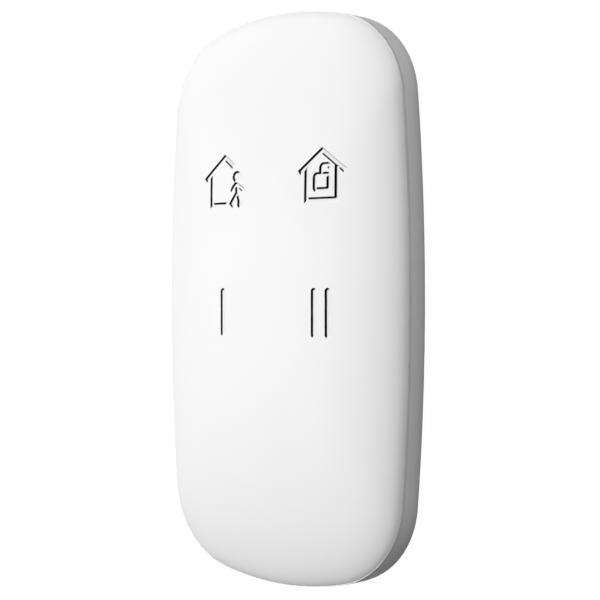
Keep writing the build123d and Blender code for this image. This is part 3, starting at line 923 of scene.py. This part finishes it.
def board_material():
    """Green solder mask over copper tracks: a grid of bricks shows through, and lifts the coat."""
    material, tree, shader = new_material("board_green")
    place = add_node(tree, "ShaderNodeTexCoord", 0, 0)
    tracks = add_node(tree, "ShaderNodeTexBrick", 1, 0, offset=0.35, squash=1.6, squash_frequency=3)
    tracks.inputs["Scale"].default_value = 160
    tracks.inputs["Mortar Size"].default_value = 0.06
    tracks.inputs["Mortar Smooth"].default_value = 0.3
    tree.links.new(place.outputs["Object"], tracks.inputs["Vector"])
    green = mix_colours(tree, 3, 0, tracks.outputs["Fac"], COAT_GREEN, TRACK_GREEN)
    tree.links.new(green, shader.inputs["Base Color"])
    marks = place_group(tree, smudges, 1, 2)
    gloss = mix_values(tree, 3, 2, marks.outputs["Mask"], 0.25, 0.4)
    tree.links.new(gloss, shader.inputs["Roughness"])
    bump(tree, shader, tracks.outputs["Fac"], TRACK_HEIGHT)
    return material


def clear_material():
    """Clear plastic with a faint haze in its gloss."""
    material, tree, shader = new_material("clear_plastic")
    marks = place_group(tree, smudges, 1, 2)
    gloss = mix_values(tree, 3, 2, marks.outputs["Mask"], 0.05, 0.2)
    tree.links.new(gloss, shader.inputs["Roughness"])
    shader.inputs["Base Color"].default_value = CLEAR_TINT
    shader.inputs["Transmission Weight"].default_value = 1.0
    shader.inputs["IOR"].default_value = 1.49
    texture = place_group(tree, grain, 1, 0)
    bump(tree, shader, texture.outputs["Height"], CLEAR_GRAIN)
    return material


# %% All finishes
# Plastic is given by its colour, the share of its second tone, its roughness, the scale and depth of
# its grain, and its gloss. Metal is given by its colour, its roughness and the scale of its grain.
finishes = {
    "white_skin": white_skin,
    "grey_shell": plastic("grey_shell", (0.79, 0.79, 0.79), 0.97, 0.45, 9000, 4e-6),
    "steel": metal("steel", (0.6, 0.6, 0.6), 0.28),
    "nickel_plate": metal("nickel_plate", (0.72, 0.7, 0.66), 0.22, 5000),
    "copper": metal("copper", (0.72, 0.42, 0.24), 0.3, 6000),
    "black_rubber": plastic("black_rubber", (0.04, 0.04, 0.04), 1.3, 0.75, 5000, 8e-6, 0.25),
    "black_plastic": plastic("black_plastic", (0.05, 0.05, 0.05), 1.2, 0.4, 9000, 3e-6),
    "electrode": plastic("electrode", (0.12, 0.12, 0.12), 0.7, 0.85, 3000, 2e-5, 0.2),
    "board_green": board_material(),
    "ceramic": plastic("ceramic", (0.55, 0.42, 0.3), 0.85, 0.5, 12000, 3e-6),
    "light_white": plastic("light_white", (0.9, 0.9, 0.84), 0.96, 0.2, 9000, 1e-6, 0.5),
    "clear_plastic": clear_material(),
}
print("Finishes:", list(finishes))

# %% Give the finishes out
for subpart in frame["record"]["subparts"]:
    mesh = frame["nodes"][subpart["node"]].data
    mesh.materials.clear()
    mesh.materials.append(finishes[subpart["material_slot"]])
for piece in (cover, *caps.values()):
    piece.data.materials.append(white_skin)

# %% [markdown]
# ## Floor and light
#
# The picture is a studio one: a white ground that is almost burnt out, and light from the left. Three
# small lamps stand near, over the fob's left side, and make the face fall slowly in tone towards the
# right. Two larger ones stand farther off, over the two upper corners, and light the top end and the
# band. Together they leave the right flank in a gentle shade. The floor is a mid grey that throws
# little light back under the bottom end. It sends most of a plain white straight to the camera, so it
# still looks white, and the shadow on it stays faint.

# %% Floor
FLOOR_SIDE = 3.0
FLOOR_GAP = 1e-4
FLOOR_GREY = (0.5, 0.5, 0.5, 1)
FLOOR_GLOW = 1.05
FLOOR_SHARE = 0.94


def make_floor():
    """Square plate just under the fob's back."""
    half = FLOOR_SIDE / 2
    corners = [(-half, -half), (half, -half), (half, half), (-half, half)]
    mesh = bpy.data.meshes.new("floor")
    mesh.from_pydata([(x, y, -FLOOR_GAP) for x, y in corners], [], [(0, 1, 2, 3)])
    floor = bpy.data.objects.new("floor", mesh)
    bpy.context.scene.collection.objects.link(floor)
    material, tree, shader = new_material("floor_white")
    shader.inputs["Base Color"].default_value = FLOOR_GREY
    shader.inputs["Roughness"].default_value = 0.9
    shader.inputs["Specular IOR Level"].default_value = 0.1
    glow = add_node(tree, "ShaderNodeEmission", 6, 2)
    glow.inputs["Color"].default_value = (1, 1, 1, 1)
    glow.inputs["Strength"].default_value = FLOOR_GLOW
    path = add_node(tree, "ShaderNodeLightPath", 5, 4)
    part = add_node(tree, "ShaderNodeMath", 6, 4, operation="MULTIPLY")
    part.inputs[1].default_value = FLOOR_SHARE
    mix = add_node(tree, "ShaderNodeMixShader", 7, 1)
    output = next(node for node in tree.nodes if node.type == "OUTPUT_MATERIAL")
    tree.links.new(path.outputs["Is Camera Ray"], part.inputs[0])
    tree.links.new(part.outputs["Value"], mix.inputs["Fac"])
    tree.links.new(shader.outputs["BSDF"], mix.inputs[1])
    tree.links.new(glow.outputs["Emission"], mix.inputs[2])
    tree.links.new(mix.outputs["Shader"], output.inputs["Surface"])
    mesh.materials.append(material)
    return floor


floor = make_floor()
print("Floor's side in m:", FLOOR_SIDE, "faces:", len(floor.data.polygons))

# %% Lights
NEAR_LAMP = {"distance": 0.3, "side": 0.12}
FAR_LAMP = {"distance": 0.6, "side": 0.3}


def soft_light(name, turn_degrees, lift_degrees, power, distance, side):
    """Square area light that looks at the fob. The turn is counted from the fob's right side towards
    its top end, the lift from the floor up."""
    light = bpy.data.lights.new(name, "AREA")
    light.shape = "SQUARE"
    light.size = side
    light.energy = power
    lamp = bpy.data.objects.new(name, light)
    around, above = np.radians(turn_degrees), np.radians(lift_degrees)
    away = Vector((np.cos(around) * np.cos(above), np.sin(around) * np.cos(above), np.sin(above)))
    lamp.location = AIM + away * distance
    lamp.rotation_mode = "QUATERNION"
    lamp.rotation_quaternion = away.to_track_quat("Z", "Y")
    lamp.visible_camera = False
    bpy.context.scene.collection.objects.link(lamp)


soft_light("left", 180, 45, 0.28, **NEAR_LAMP)
soft_light("left_above", 150, 60, 0.18, **NEAR_LAMP)
soft_light("left_below", 210, 60, 0.23, **NEAR_LAMP)
soft_light("top_left", 135, 35, 0.97, **FAR_LAMP)
soft_light("top_right", 45, 30, 1.36, **FAR_LAMP)
print("Lights in watts:", {lamp.name: round(lamp.energy, 2) for lamp in bpy.data.lights})

# %% Surround
SURROUND_GLOW = 0.02
SURROUND_WHITE = 1.0


def make_surround():
    """World that is white where the camera sees it, and only a faint glow for everything else."""
    world = bpy.data.worlds.new("studio")
    world.use_nodes = True
    tree = world.node_tree
    surround = next(node for node in tree.nodes if node.type == "BACKGROUND")
    surround.inputs["Color"].default_value = (1, 1, 1, 1)
    path = add_node(tree, "ShaderNodeLightPath", -2, 0)
    is_seen = path.outputs["Is Camera Ray"]
    strength = mix_values(tree, -1, 0, is_seen, SURROUND_GLOW, SURROUND_WHITE)
    tree.links.new(strength, surround.inputs["Strength"])
    return world


bpy.context.scene.world = make_surround()
bpy.context.scene.view_settings.view_transform = "Standard"
print("World:", bpy.context.scene.world.name)
